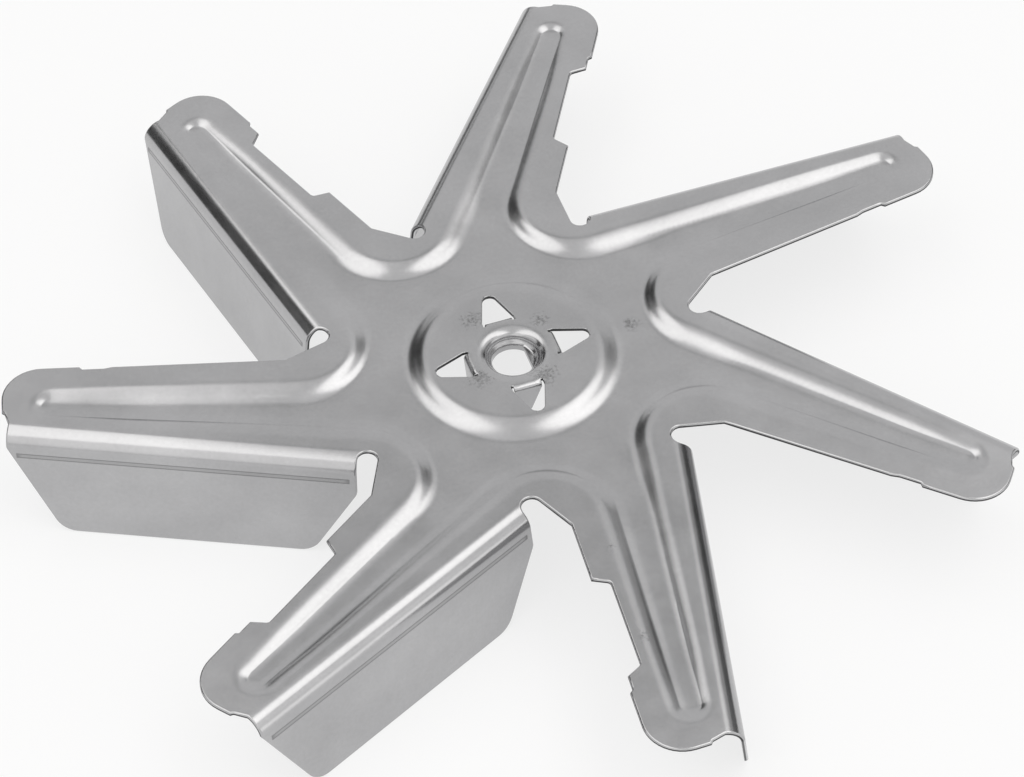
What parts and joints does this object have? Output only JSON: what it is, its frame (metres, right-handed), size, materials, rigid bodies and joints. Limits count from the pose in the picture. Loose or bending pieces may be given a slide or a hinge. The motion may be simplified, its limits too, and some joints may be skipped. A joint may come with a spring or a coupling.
{
  "type": "oven fan impeller",
  "caption": "Pressed sheet-metal impeller for a convection oven fan, with a sunken star-shaped hub, ribbed arms, a blade folded down along each arm and a D-shaped shaft hole.",
  "frame": {"origin": "on the shaft's axis, level with the flat top of the hub disc and the arms", "axes": "+Z along the axis away from the motor, +X along the fold of the first arm and square to the flat of the shaft hole, blades hang towards -Z"},
  "size_m": [0.1476, 0.1455, 0.018],
  "materials": {
    "sheet": "satin aluminised steel sheet"
  },
  "bodies": {
    "root": {"impeller": "sheet"}
  },
  "joints": []
}
